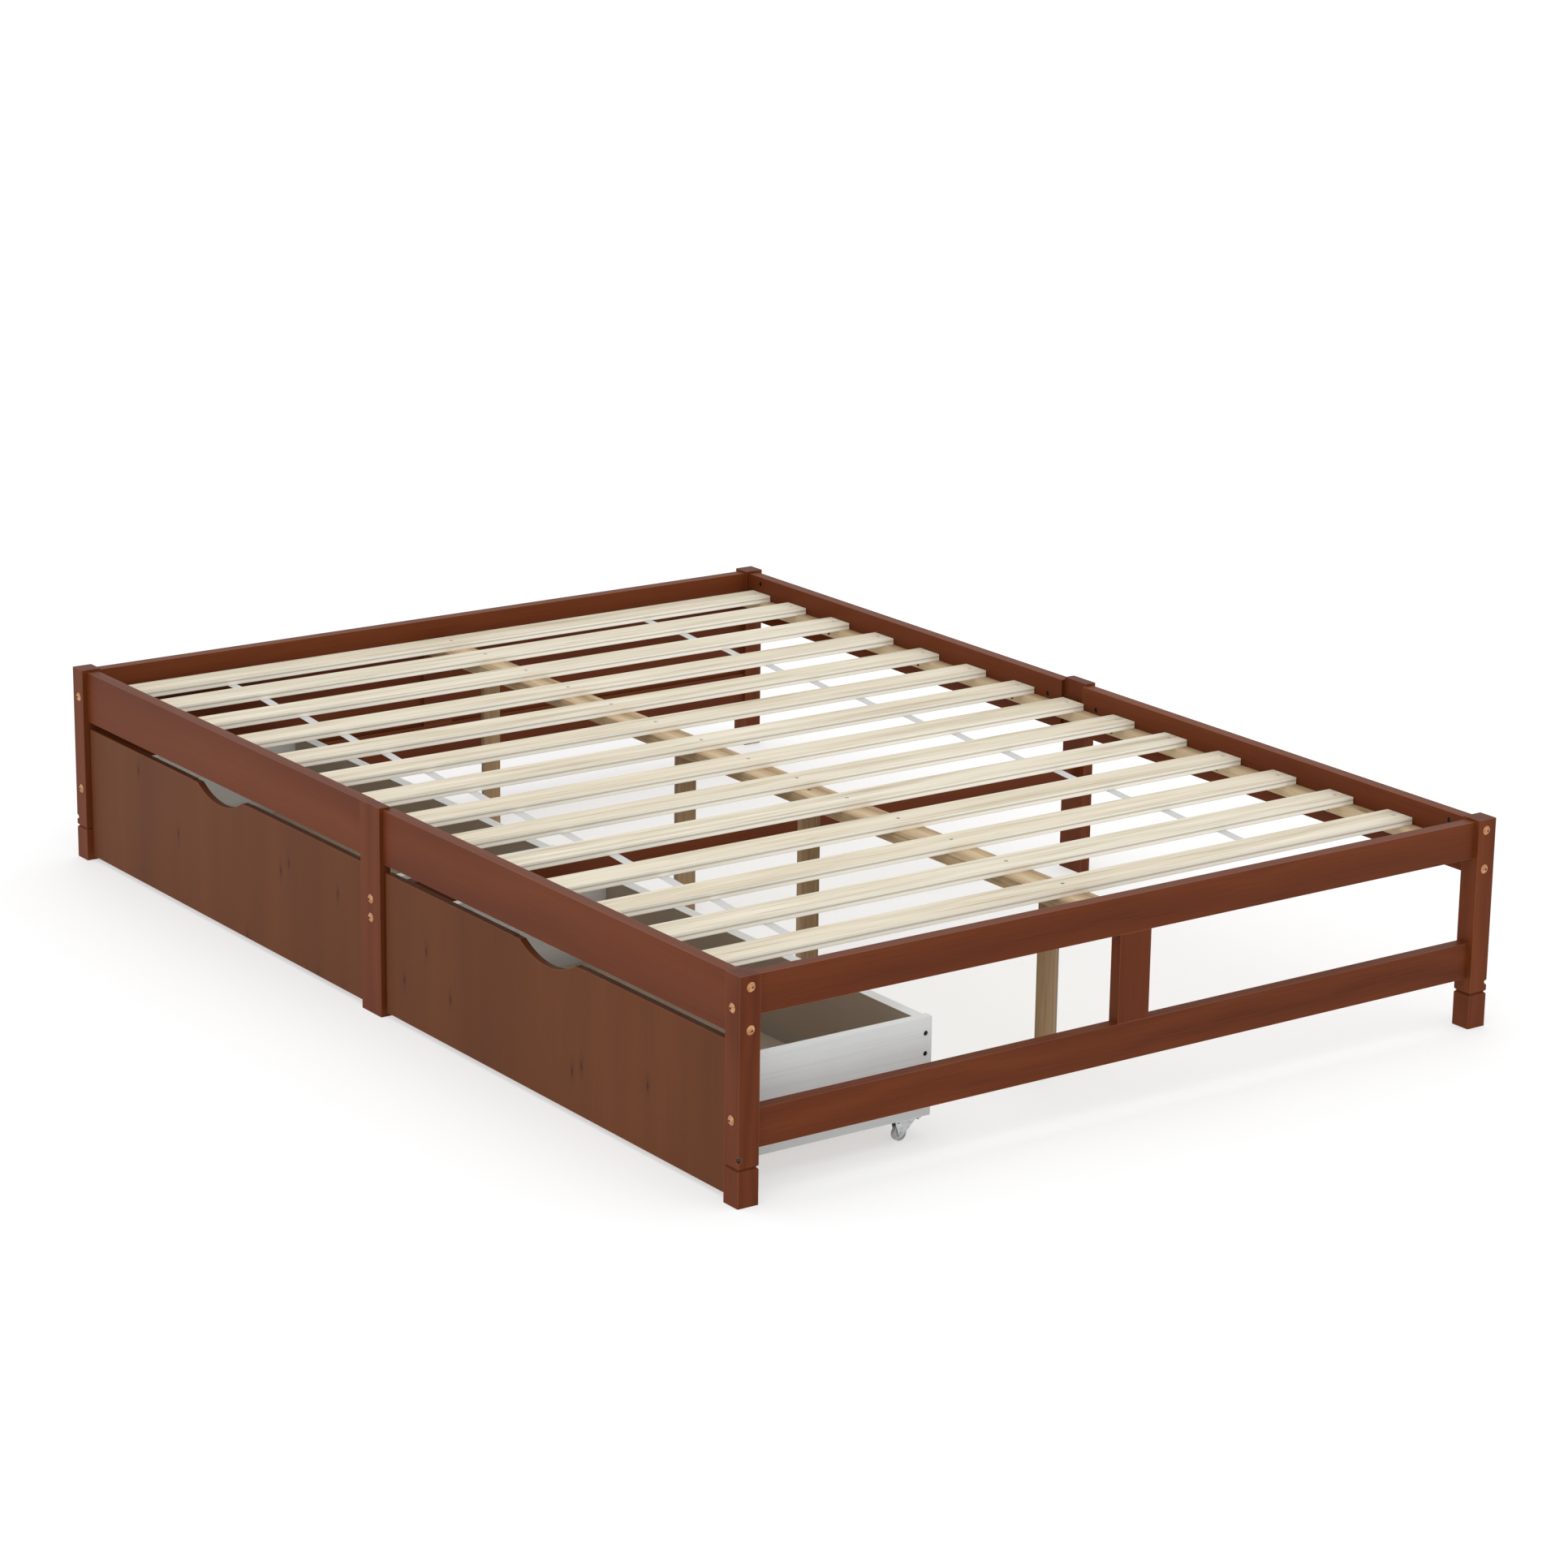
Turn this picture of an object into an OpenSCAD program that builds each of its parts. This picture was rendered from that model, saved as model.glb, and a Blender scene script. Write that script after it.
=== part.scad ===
// Low platform bed with a slatted base and two rolling drawers under its left side.
// X runs across the bed, Y from the foot end to the head end, and Z up from the floor.
// The origin is on the floor under the middle of the bed. Each module draws its piece once,
// measured from the outer foot-left corner, and place() puts it in the bed's own frame.

/* [Bed] */
// Width over the corner posts
bed_width = 1468; // [1400:1:1700]
// Length over the corner posts
bed_length = 2068; // [2040:1:2200]
// Height of the corner posts
bed_height = 350; // [340:1:380]

/* [Frame] */
// Side of a square corner post
post_size = 36; // [34:1:40]
// Height of the foot block under a corner post
block_height = 58; // [50:1:64]
// Chamfer on both sides of the joint above a foot block
joint_chamfer = 3; // [1:0.5:4]
// Width of a mid post along the bed
mid_post_width = 60; // [56:1:70]
// Thickness of a mid post
mid_post_thickness = 20; // [19:1:22]
// Gap from the side plane of the bed to a mid post's outer face
mid_post_setback = 2; // [1:0.5:4]
// Thickness of the side and end rails
rail_thickness = 21; // [20:1:22]
// Gap from the plane of the posts to a rail's outer face
rail_setback = 9; // [8:0.5:10]
// Drop from a post's top to a rail's top
rail_drop = 4; // [2:1:6]
// Height of a side rail
side_rail_height = 90; // [86:1:94]
// Height of each end rail, and width of a stile
end_rail_height = 60; // [56:1:64]
// Height of a lower end rail's underside above the floor
lower_rail_z = 84; // [80:1:90]
// Thickness of the panels in the head end
panel_thickness = 9; // [6:1:10]
// Thickness of the rail that joins the mid posts
cross_rail_thickness = 20; // [18:1:22]
// Height of the rail that joins the mid posts
cross_rail_height = 58; // [54:1:62]
// Underside of the rail that joins the mid posts
cross_rail_z = 152; // [148:1:156]

/* [Slatted base] */
// Number of slats
slat_count = 14; // [14:1:14]
// Width of a slat
slat_width = 58; // [50:1:64]
// Thickness of a slat
slat_thickness = 12; // [10:1:14]
// Gap from a rail to a slat's end
slat_end_gap = 1; // [1:0.5:4]
// Drop from the rail tops to the slat tops
slat_drop = 30; // [28:1:32]
// Foot edge of the first slat, from the foot end
first_slat_y = 158; // [150:1:160]
// Distance from one slat to the next
slat_pitch = 140.2; // [136:0.1:141]
// Foot edge of the last slat, from the head end
last_slat_inset = 109; // [104:1:112]
// Width of a ledger strip
ledger_width = 24; // [22:1:28]
// Height of a ledger strip
ledger_height = 18; // [16:1:20]
// Width of the centre beam
beam_width = 60; // [56:1:64]
// Thickness of the centre beam
beam_thickness = 19; // [18:1:21]
// Side of a square centre leg
leg_size = 29; // [27:1:32]
// Width of a webbing tape
tape_width = 18; // [12:1:25]
// Thickness of a webbing tape
tape_thickness = 1.2; // [1:0.1:2]
// Middle of the left tape, from the left side
left_tape_x = 260; // [200:1:320]
// Middle of the right tape, from the left side
right_tape_x = 1153; // [1100:1:1200]

/* [Drawers] */
// Gap between a drawer front and the posts beside it
front_side_gap = 7; // [4:1:8]
// Gap between a drawer front and the rail above it
front_top_gap = 13; // [8:1:14]
// Gap between a drawer front and the floor
front_floor_gap = 9; // [8:1:12]
// Thickness of a drawer front
front_thickness = 12; // [12:1:14]
// Width of the finger notch in a drawer front
notch_width = 158; // [120:1:180]
// Depth of the finger notch
notch_depth = 23; // [18:1:26]
// Distance from the end of a front to the drawer box
box_inset = 44; // [40:1:50]
// Depth of a drawer box behind its front
box_depth = 389; // [380:1:400]
// Height of the underside of a drawer's sides
box_z = 35; // [34:1:36]
// Height of a drawer's sides
box_height = 156; // [150:1:158]
// Thickness of a drawer's sides
box_side = 15; // [14:1:16]
// Thickness of a drawer's back
box_back = 20; // [18:1:20]
// Drop from the sides' tops to the back's top
back_drop = 3; // [0:1:4]
// Thickness of a drawer's bottom
bottom_thickness = 5; // [4:0.5:6]
// Height of the bottom's underside
bottom_z = 45; // [44:1:46]
// Depth of the groove that holds the bottom
groove_depth = 6; // [4:0.5:7]

/* [Casters] */
// Diameter of a caster wheel
wheel_diameter = 24; // [24:1:24]
// Width of a caster wheel
wheel_width = 9; // [8:0.5:10]
// Length of a caster plate
plate_length = 46; // [44:1:50]
// Width of a caster plate
plate_width = 24; // [22:1:26]
// Distance from a caster plate's near end to the wheel's axle
wheel_offset = 13; // [13:0.5:14]

/* [Fixings] */
// Diameter of a frame bolt's shank
bolt_diameter = 6; // [5:0.5:6]
// Diameter of a frame bolt's domed head
bolt_head_diameter = 15; // [13:0.5:16]
// Height of a frame bolt's domed head
bolt_head_height = 3.2; // [2.5:0.1:4]
// Hexagon socket across its flats
hex_socket = 4; // [3:0.5:5]
// Diameter of a barrel nut
barrel_diameter = 10; // [9:0.5:12]
// Diameter of a dowel
dowel_diameter = 8; // [6:1:8]
// Diameter of a wood screw's head
screw_head = 8; // [7:0.5:8]
// Diameter of a wood screw's shank
screw_shank = 4; // [3.5:0.5:4]

/* [Hidden] */
$fn = 48;

// Directions of the two sides and of the two ends
left = -1;
right = 1;
foot = -1;
head = 1;

// Heights worked out from the rails
rail_top = bed_height - rail_drop;
side_rail_z = rail_top - side_rail_height;
upper_rail_z = rail_top - end_rail_height;
lower_rail_top = lower_rail_z + end_rail_height;
slat_top = rail_top - slat_drop;
slat_z = slat_top - slat_thickness;
beam_z = slat_z - beam_thickness;
rail_inner = rail_setback + rail_thickness;
rail_middle = rail_setback + rail_thickness / 2;
middle_x = bed_width / 2;
middle_y = bed_length / 2;
panel_length = middle_x - end_rail_height / 2 - post_size;
mid_post_y = middle_y - mid_post_width / 2;
mid_post_inner = mid_post_setback + mid_post_thickness;
ledger_screw_z = slat_z - 11;

// Frame bolts: heights in the posts, and how far a barrel nut lies from its rail's end
side_bolt_z = [rail_top - 14, side_rail_z + 11.5];
end_bolt_z = [upper_rail_z + 13, lower_rail_top - 14];
end_dowel_z = [rail_top - 16, lower_rail_z + 14];
cross_bolt_z = [cross_rail_z + 9, cross_rail_z + 40];
stud_z = rail_top - 34;
mid_dowel_z = side_rail_z + 18;
stud_x = rail_setback + 6.5;
nut_inset = 38;
nut_depth = 16;
nut_recess = 2;
bolt_reach = 50;
bolt_clearance = 0.25;
nut_clearance = 0.1;
dowel_clearance = 0.1;
dowel_half = 12;
stile_dowel_spacing = 30;
foot_stud_diameter = 8;
foot_stud_reach = 30;
corner_screw_z = 74;
corner_screw_reach = 12;

// Wood screws: a head sits in a counterbore of this depth
screw_recess = 1.5;
screw_cone = 2.4;
screw_tip = 3;
slat_screw_inset = 14;
slat_screw_length = 24;
leg_screw_length = 50;
ledger_screw_length = 36;
ledger_screw_count = 8;
ledger_screw_pitch = 280;

// Centre legs, foot to head: place along the bed, and how far each has turned on its screw
leg_y = [217, 852, middle_y + 182, bed_length - 217];
leg_turn = [40, -15, -14, -20];

// Drawers
front_z = front_floor_gap;
front_height = side_rail_z - front_top_gap - front_floor_gap;
front_length = mid_post_y - post_size - 2 * front_side_gap;
front_inner = rail_setback + front_thickness;
foot_drawer_y = post_size + front_side_gap;
head_drawer_y = bed_length - foot_drawer_y - front_length;
box_length = front_length - 2 * box_inset;
back_x = front_inner + box_depth - 1 - box_back;
back_z = box_z + 3;
notch_radius = (pow(notch_width / 2, 2) + pow(notch_depth, 2)) / (2 * notch_depth);
shoulder_radius = 6;
fixing_z = [box_z + 27, box_z + 98.5, box_z + 130.5];
fixing_reach = 45;
front_dowel_z = [box_z + 30, box_z + 125];
front_dowel_depth = 8;

// Casters
plate_thickness = 2;
cheek_thickness = 1.5;
wheel_side_gap = 0.6;
axle_radius = 1.5;
axle_clearance = 0.05;
axle_head_radius = 2.6;
axle_head_height = 1;
caster_y = 13;
near_caster_x = 45;
far_caster_x = 349;
plate_screw_inset = 5;
plate_screw_length = 16;
plate_screw_scale = 0.6;
plate_screw_y = 9.3;

walnut = [0.42, 0.24, 0.16];
pale_wood = [0.86, 0.82, 0.72];
raw_pine = [0.70, 0.60, 0.45];
white_board = [0.82, 0.83, 0.82];
taupe_board = [0.46, 0.41, 0.35];
brass = [0.80, 0.60, 0.42];
zinc = [0.70, 0.71, 0.72];
dark_steel = [0.20, 0.19, 0.18];
grey_plastic = [0.62, 0.63, 0.63];
webbing = [0.85, 0.85, 0.84];
beech = [0.78, 0.66, 0.50];

// ---- Shared helpers ----

// Puts a piece measured from the foot-left corner on the given side and end of the bed
module place(side, end) {
    mirror([side == right ? 1 : 0, 0, 0])
        mirror([0, end == head ? 1 : 0, 0])
            translate([-middle_x, -middle_y, 0])
                children();
}

// A box from one corner to the opposite corner
module block(low, high) {
    translate(low) cube(high - low);
}

// A round bar or hole between two heights, in the direction that its name says
module along_x(x0, x1, y, z, radius) {
    translate([x0, y, z]) rotate([0, 90, 0]) cylinder(h = x1 - x0, r = radius);
}

module along_y(y0, y1, x, z, radius) {
    translate([x, y1, z]) rotate([90, 0, 0]) cylinder(h = y1 - y0, r = radius);
}

module along_z(z0, z1, x, y, radius) {
    translate([x, y, z0]) cylinder(h = z1 - z0, r = radius);
}

// A square bar whose chosen end is chamfered all round
module chamfered_bar(size, height, chamfer, top_end) {
    outline = top_end
        ? [[0, 0], [size, 0], [size, height - chamfer], [size - chamfer, height],
           [chamfer, height], [0, height - chamfer]]
        : [[chamfer, 0], [size - chamfer, 0], [size, chamfer], [size, height], [0, height], [0, chamfer]];
    intersection() {
        translate([0, size, 0]) rotate([90, 0, 0]) linear_extrude(size) polygon(outline);
        rotate([90, 0, 90]) linear_extrude(size) polygon(outline);
    }
}

// A bolt whose domed head points up, with its shank going down from z = 0
module dome_bolt(length) {
    head_radius = bolt_head_diameter / 2;
    dome_radius = (pow(head_radius, 2) + pow(bolt_head_height, 2)) / (2 * bolt_head_height);
    difference() {
        union() {
            intersection() {
                translate([0, 0, bolt_head_height - dome_radius]) sphere(r = dome_radius, $fn = 64);
                cylinder(h = bolt_head_height + 1, r = head_radius + 1);
            }
            translate([0, 0, -length]) cylinder(h = length + 0.5, r = bolt_diameter / 2);
        }
        translate([0, 0, bolt_head_height - 2.4])
            cylinder(h = 5, d = hex_socket / cos(30), $fn = 6);
    }
}

// A flat-head wood screw whose head is at z = 0, pointing down
module wood_screw(length) {
    rotate_extrude()
        polygon([[0, 0], [screw_head / 2, 0], [screw_shank / 2, -screw_cone],
                 [screw_shank / 2, -length + screw_tip], [0, -length]]);
}

// The hole that a wood screw sits in, from its counterbore at z = screw_recess down
module screw_hole(length, recess) {
    clearance = 0.1;
    translate([0, 0, -0.01]) cylinder(h = recess + 1, r = screw_head / 2 + clearance);
    translate([0, 0, -screw_cone])
        cylinder(h = screw_cone, r1 = screw_shank / 2 + clearance, r2 = screw_head / 2 + clearance);
    translate([0, 0, -length - 0.5]) cylinder(h = length + 0.5, r = screw_shank / 2 + clearance);
}

// A barrel nut's body along X, ending a little below the inner face of a rail
module barrel_bar(y, z, radius) {
    along_x(rail_inner - nut_recess - nut_depth, rail_inner - nut_recess, y, z, radius);
}

// ---- Posts and rails, drawn for the foot-left corner ----

module corner_post() {
    color(walnut) difference() {
        translate([0, 0, block_height])
            chamfered_bar(post_size, bed_height - block_height, joint_chamfer, false);
        for (z = side_bolt_z)
            along_y(-1, post_size + 1, rail_middle, z, bolt_diameter / 2 + bolt_clearance);
        for (z = end_bolt_z)
            along_x(-1, post_size + 1, rail_middle, z, bolt_diameter / 2 + bolt_clearance);
        for (z = end_dowel_z)
            along_x(post_size - dowel_half, post_size + 1, rail_middle, z,
                    dowel_diameter / 2 + dowel_clearance);
        along_z(block_height - 1, block_height + foot_stud_reach + 1, post_size / 2, post_size / 2,
                foot_stud_diameter / 2 + dowel_clearance);
        corner_screw_place() screw_hole(corner_screw_reach, 4);
    }
}

// The small screw set into a post's outer edge: its head lies just inside the edge
module corner_screw_place() {
    edge_depth = 3;
    translate([edge_depth, edge_depth, corner_screw_z]) rotate([90, 0, -45]) children();
}

module foot_block() {
    color(walnut) difference() {
        chamfered_bar(post_size, block_height, joint_chamfer, true);
        along_z(block_height - foot_stud_reach - 1, block_height + 1, post_size / 2, post_size / 2,
                foot_stud_diameter / 2 + dowel_clearance);
    }
}

module mid_post() {
    color(walnut) difference() {
        block([mid_post_setback, mid_post_y, 0], [mid_post_inner, bed_length - mid_post_y, bed_height]);
        for (z = cross_bolt_z)
            along_x(0, mid_post_inner + 1, middle_y, z, bolt_diameter / 2 + bolt_clearance);
        along_y(mid_post_y - 1, bed_length - mid_post_y + 1, stud_x, stud_z,
                bolt_diameter / 2 + bolt_clearance);
        along_y(mid_post_y - 1, bed_length - mid_post_y + 1, stud_x, mid_dowel_z,
                dowel_diameter / 2 + dowel_clearance);
    }
}

module side_rail() {
    nut_radius = barrel_diameter / 2 + nut_clearance;
    color(walnut) difference() {
        block([rail_setback, post_size, side_rail_z], [rail_inner, mid_post_y, rail_top]);
        for (z = side_bolt_z) {
            along_y(post_size - 1, post_size + bolt_reach + 1, rail_middle, z,
                    bolt_diameter / 2 + bolt_clearance);
            side_nut_hole(post_size + nut_inset, z, nut_radius);
        }
        along_y(mid_post_y - bolt_reach - 1, mid_post_y + 1, stud_x, stud_z,
                bolt_diameter / 2 + bolt_clearance);
        side_nut_hole(mid_post_y - nut_inset, stud_z, nut_radius);
        along_y(mid_post_y - dowel_half, mid_post_y + 1, stud_x, mid_dowel_z,
                dowel_diameter / 2 + dowel_clearance);
        at_ledger_screws() sunk_screw_hole(ledger_screw_length);
    }
}

module side_nut_hole(y, z, radius) {
    along_x(rail_inner - nut_recess - nut_depth, rail_inner + 1, y, z, radius);
}

// Puts its children at each ledger screw: the screw points towards the side of the bed
module at_ledger_screws() {
    for (i = [0 : ledger_screw_count - 1])
        translate([rail_inner + ledger_width, ledger_screw_y(i), ledger_screw_z])
            rotate([0, 90, 0]) children();
}

module sunk_screw_hole(length) {
    translate([0, 0, -screw_recess]) screw_hole(length, screw_recess);
}

// An end rail between the corner posts, with a bolt and a dowel at each end
module end_rail(z, bolt_z, dowel_z, grooved) {
    difference() {
        block([post_size, rail_setback, z], [bed_width - post_size, rail_inner, z + end_rail_height]);
        for (flip = [0, 1])
            translate([flip * bed_width, 0, 0]) mirror([flip, 0, 0]) {
                along_x(post_size - 1, post_size + bolt_reach + 1, rail_middle, bolt_z,
                        bolt_diameter / 2 + bolt_clearance);
                along_x(post_size - 1, post_size + dowel_half, rail_middle, dowel_z,
                        dowel_diameter / 2 + dowel_clearance);
                along_y(rail_inner - nut_recess - nut_depth, rail_inner + 1, post_size + nut_inset, bolt_z,
                        barrel_diameter / 2 + nut_clearance);
            }
        stile_dowel_holes();
        if (grooved)
            panel_room(0.1);
    }
}

// The two panels' own space, grown a little for the grooves that hold them
module panel_room(clearance) {
    panel_y = rail_middle - panel_thickness / 2;
    for (x = [post_size, middle_x + end_rail_height / 2])
        block([x - 1, panel_y - clearance, lower_rail_top - groove_depth - clearance],
              [x + panel_length + 1, panel_y + panel_thickness + clearance,
               upper_rail_z + groove_depth + clearance]);
}

module end_stile() {
    difference() {
        block([middle_x - end_rail_height / 2, rail_setback, lower_rail_top],
              [middle_x + end_rail_height / 2, rail_inner, upper_rail_z]);
        stile_dowel_holes();
    }
}

module stile_dowel_holes() {
    for (side = [-1, 1], z = [lower_rail_top, upper_rail_z])
        along_z(z - dowel_half, z + dowel_half, middle_x + side * stile_dowel_spacing / 2, rail_middle,
                dowel_diameter / 2 + dowel_clearance);
}

module upper_end_rail(grooved) {
    color(walnut) end_rail(upper_rail_z, end_bolt_z[0], end_dowel_z[0], grooved);
}

module lower_end_rail(grooved) {
    color(walnut) end_rail(lower_rail_z, end_bolt_z[1], end_dowel_z[1], grooved);
}

module head_panel() {
    panel_y = rail_middle - panel_thickness / 2;
    color(walnut)
        block([post_size, panel_y, lower_rail_top - groove_depth],
              [post_size + panel_length, panel_y + panel_thickness, upper_rail_z + groove_depth]);
}

module cross_rail() {
    low_y = middle_y - cross_rail_thickness / 2;
    color(walnut) place(left, foot) difference() {
        block([mid_post_inner, low_y, cross_rail_z],
              [bed_width - mid_post_inner, low_y + cross_rail_thickness, cross_rail_z + cross_rail_height]);
        for (flip = [0, 1], z = cross_bolt_z)
            translate([flip * bed_width, 0, 0]) mirror([flip, 0, 0]) {
                along_x(mid_post_inner - 1, mid_post_inner + bolt_reach + 1, middle_y, z,
                        bolt_diameter / 2 + bolt_clearance);
                along_y(middle_y - nut_depth / 2, middle_y + cross_rail_thickness,
                        mid_post_inner + nut_inset, z, barrel_diameter / 2 + nut_clearance);
            }
    }
}

// ---- Slatted base ----

function slat_y(i) = i < slat_count - 1 ? first_slat_y + i * slat_pitch : bed_length - last_slat_inset;
function ledger_screw_y(i) = middle_y + (i - (ledger_screw_count - 1) / 2) * ledger_screw_pitch;

module ledger() {
    color(raw_pine) difference() {
        block([rail_inner, post_size, slat_z - ledger_height],
              [rail_inner + ledger_width, bed_length - post_size, slat_z]);
        at_ledger_screws() sunk_screw_hole(ledger_screw_length);
        slat_screw_holes();
    }
}

module centre_beam() {
    color(raw_pine) place(left, foot) difference() {
        block([middle_x - beam_width / 2, rail_inner, beam_z],
              [middle_x + beam_width / 2, bed_length - rail_inner, slat_z]);
        slat_screw_holes();
        for (y = leg_y)
            translate([middle_x, y, slat_z - screw_recess]) screw_hole(leg_screw_length, screw_recess);
    }
}

module centre_leg(number) {
    color(raw_pine) place(left, foot)
        translate([middle_x, leg_y[number - 1], 0]) difference() {
            rotate([0, 0, leg_turn[number - 1]])
                translate([-leg_size / 2, -leg_size / 2, 0]) cube([leg_size, leg_size, beam_z]);
            translate([0, 0, slat_z - screw_recess]) screw_hole(leg_screw_length, screw_recess);
        }
}

// Puts its children at the head of each slat screw: both ends and the middle of every slat
module at_slat_screws() {
    end_x = rail_inner + slat_end_gap + slat_screw_inset;
    for (i = [0 : slat_count - 1], x = [end_x, middle_x, bed_width - end_x])
        translate([x, slat_y(i) + slat_width / 2, slat_top - screw_recess]) children();
}

module slat_screw_holes() {
    at_slat_screws() screw_hole(slat_screw_length, screw_recess);
}

module slats() {
    slat_x = rail_inner + slat_end_gap;
    color(pale_wood) place(left, foot) difference() {
        for (i = [0 : slat_count - 1])
            block([slat_x, slat_y(i), slat_z], [bed_width - slat_x, slat_y(i) + slat_width, slat_top]);
        slat_screw_holes();
    }
}

module slat_tapes() {
    tape_end = 6;
    color(webbing) place(left, foot)
        for (x = [left_tape_x, right_tape_x])
            block([x - tape_width / 2, first_slat_y + tape_end, slat_z - tape_thickness],
                  [x + tape_width / 2, slat_y(slat_count - 1) + slat_width - tape_end, slat_z]);
}

// ---- Fixings of the frame ----

module corner_bolts() {
    bolt_length = post_size + bolt_reach;
    for (z = side_bolt_z)
        translate([rail_middle, 0, z]) rotate([90, 0, 0]) dome_bolt(bolt_length);
    for (z = end_bolt_z)
        translate([0, rail_middle, z]) rotate([0, -90, 0]) dome_bolt(bolt_length);
    along_z(block_height - foot_stud_reach, block_height + foot_stud_reach, post_size / 2, post_size / 2,
            foot_stud_diameter / 2);
}

module cross_bolts() {
    for (z = cross_bolt_z)
        translate([mid_post_setback, middle_y, z]) rotate([0, -90, 0])
            dome_bolt(mid_post_thickness + bolt_reach);
}

module joining_stud() {
    along_y(mid_post_y - bolt_reach, bed_length - mid_post_y + bolt_reach, stud_x, stud_z,
            bolt_diameter / 2);
}

module frame_bolts() {
    color(brass) {
        for (side = [left, right], end = [foot, head])
            place(side, end) corner_bolts();
        for (side = [left, right])
            place(side, foot) {
                cross_bolts();
                joining_stud();
            }
    }
}

// The nuts of one corner and of the rail ends that meet the mid post
module corner_nuts() {
    thread_radius = bolt_diameter / 2 + nut_clearance / 2;
    for (z = side_bolt_z)
        difference() {
            barrel_bar(post_size + nut_inset, z, barrel_diameter / 2);
            along_y(post_size, post_size + bolt_reach + 10, rail_middle, z, thread_radius);
        }
    difference() {
        barrel_bar(mid_post_y - nut_inset, stud_z, barrel_diameter / 2);
        along_y(mid_post_y - bolt_reach - 10, mid_post_y, stud_x, stud_z, thread_radius);
    }
    for (z = end_bolt_z)
        difference() {
            along_y(rail_inner - nut_recess - nut_depth, rail_inner - nut_recess, post_size + nut_inset, z,
                    barrel_diameter / 2);
            along_x(post_size, post_size + bolt_reach + 10, rail_middle, z, thread_radius);
        }
}

module cross_nuts() {
    for (z = cross_bolt_z)
        difference() {
            along_y(middle_y - nut_depth / 2, middle_y + nut_depth / 2, mid_post_inner + nut_inset, z,
                    barrel_diameter / 2);
            along_x(mid_post_inner, mid_post_inner + bolt_reach + 10, middle_y, z,
                    bolt_diameter / 2 + nut_clearance / 2);
        }
}

module barrel_nuts() {
    color(brass) {
        for (side = [left, right], end = [foot, head])
            place(side, end) corner_nuts();
        for (side = [left, right])
            place(side, foot) cross_nuts();
    }
}

module frame_dowels() {
    radius = dowel_diameter / 2;
    reach = dowel_half - 0.5;
    color(beech) {
        for (side = [left, right], end = [foot, head])
            place(side, end) {
                for (z = end_dowel_z)
                    along_x(post_size - reach, post_size + reach, rail_middle, z, radius);
                along_y(mid_post_y - reach, mid_post_y + reach, stud_x, mid_dowel_z, radius);
            }
        for (end = [foot, head], side = [-1, 1], z = [lower_rail_top, upper_rail_z])
            place(left, end)
                along_z(z - reach, z + reach, middle_x + side * stile_dowel_spacing / 2,
                        rail_middle, radius);
    }
}

module wood_screws() {
    color(dark_steel) {
        place(left, foot) {
            at_slat_screws() wood_screw(slat_screw_length);
            for (y = leg_y)
                translate([middle_x, y, slat_z - screw_recess]) wood_screw(leg_screw_length);
        }
        for (side = [left, right])
            place(side, foot) at_ledger_screws()
                translate([0, 0, -screw_recess]) wood_screw(ledger_screw_length);
        for (side = [left, right], end = [foot, head])
            place(side, end) corner_screw_place() wood_screw(corner_screw_reach);
    }
}

// ---- Drawers: y = 0 is the foot end of the drawer's front ----

module place_drawer(end) {
    translate([-middle_x, (end == foot ? foot_drawer_y : head_drawer_y) - middle_y, 0]) children();
}

// Outline of a front seen from outside, with a scooped notch between rounded shoulders
module front_outline() {
    notch_y = front_length / 2;
    shoulder_y = sqrt(pow(notch_radius + shoulder_radius, 2)
                      - pow(notch_radius - notch_depth - shoulder_radius, 2));
    touch = notch_radius / (notch_radius + shoulder_radius);
    scoop_z = front_height - notch_depth + notch_radius;
    touch_z = scoop_z + (front_height - shoulder_radius - scoop_z) * touch;
    difference() {
        square([front_length, front_height]);
        translate([notch_y, scoop_z]) circle(r = notch_radius, $fn = 180);
        difference() {
            translate([notch_y - shoulder_y, touch_z]) square([2 * shoulder_y, front_height]);
            for (side = [-1, 1])
                translate([notch_y + side * shoulder_y, front_height - shoulder_radius])
                    circle(r = shoulder_radius);
        }
    }
}

module drawer_front() {
    color(walnut) difference() {
        translate([rail_setback, 0, front_z]) rotate([90, 0, 90])
            linear_extrude(front_thickness) front_outline();
        front_dowel_holes();
    }
}

module front_dowel_holes() {
    at_front_dowels()
        along_x(front_inner - front_dowel_depth - 0.5, front_inner + dowel_half + 0.5, 0, 0,
                dowel_diameter / 2 + dowel_clearance);
}

module at_front_dowels() {
    for (y = [box_inset + box_side / 2, front_length - box_inset - box_side / 2], z = front_dowel_z)
        translate([0, y, z]) children();
}

// The side nearer the foot; the other is its mirror image
module drawer_side() {
    color(white_board) difference() {
        block([front_inner, box_inset, box_z],
              [front_inner + box_depth, box_inset + box_side, box_z + box_height]);
        block([front_inner - 1, box_inset + box_side - groove_depth - 0.1, bottom_z - 0.1],
              [back_x, box_inset + box_side + 1, bottom_z + bottom_thickness + 0.1]);
        front_dowel_holes();
        at_side_screws() sunk_screw_hole(fixing_reach);
        at_plate_screws() screw_hole(plate_screw_length / plate_screw_scale, 0);
    }
}

// Screws through the side into the end of the back
module at_side_screws() {
    for (z = fixing_z)
        translate([back_x + box_back / 2, box_inset, z]) rotate([90, 0, 0]) children();
}

module flip_drawer() {
    translate([0, front_length, 0]) mirror([0, 1, 0]) children();
}

module drawer_back() {
    color(white_board) difference() {
        block([back_x, box_inset + box_side, back_z],
              [back_x + box_back, front_length - box_inset - box_side, box_z + box_height - back_drop]);
        at_side_screws() sunk_screw_hole(fixing_reach);
        flip_drawer() at_side_screws() sunk_screw_hole(fixing_reach);
    }
}

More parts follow.
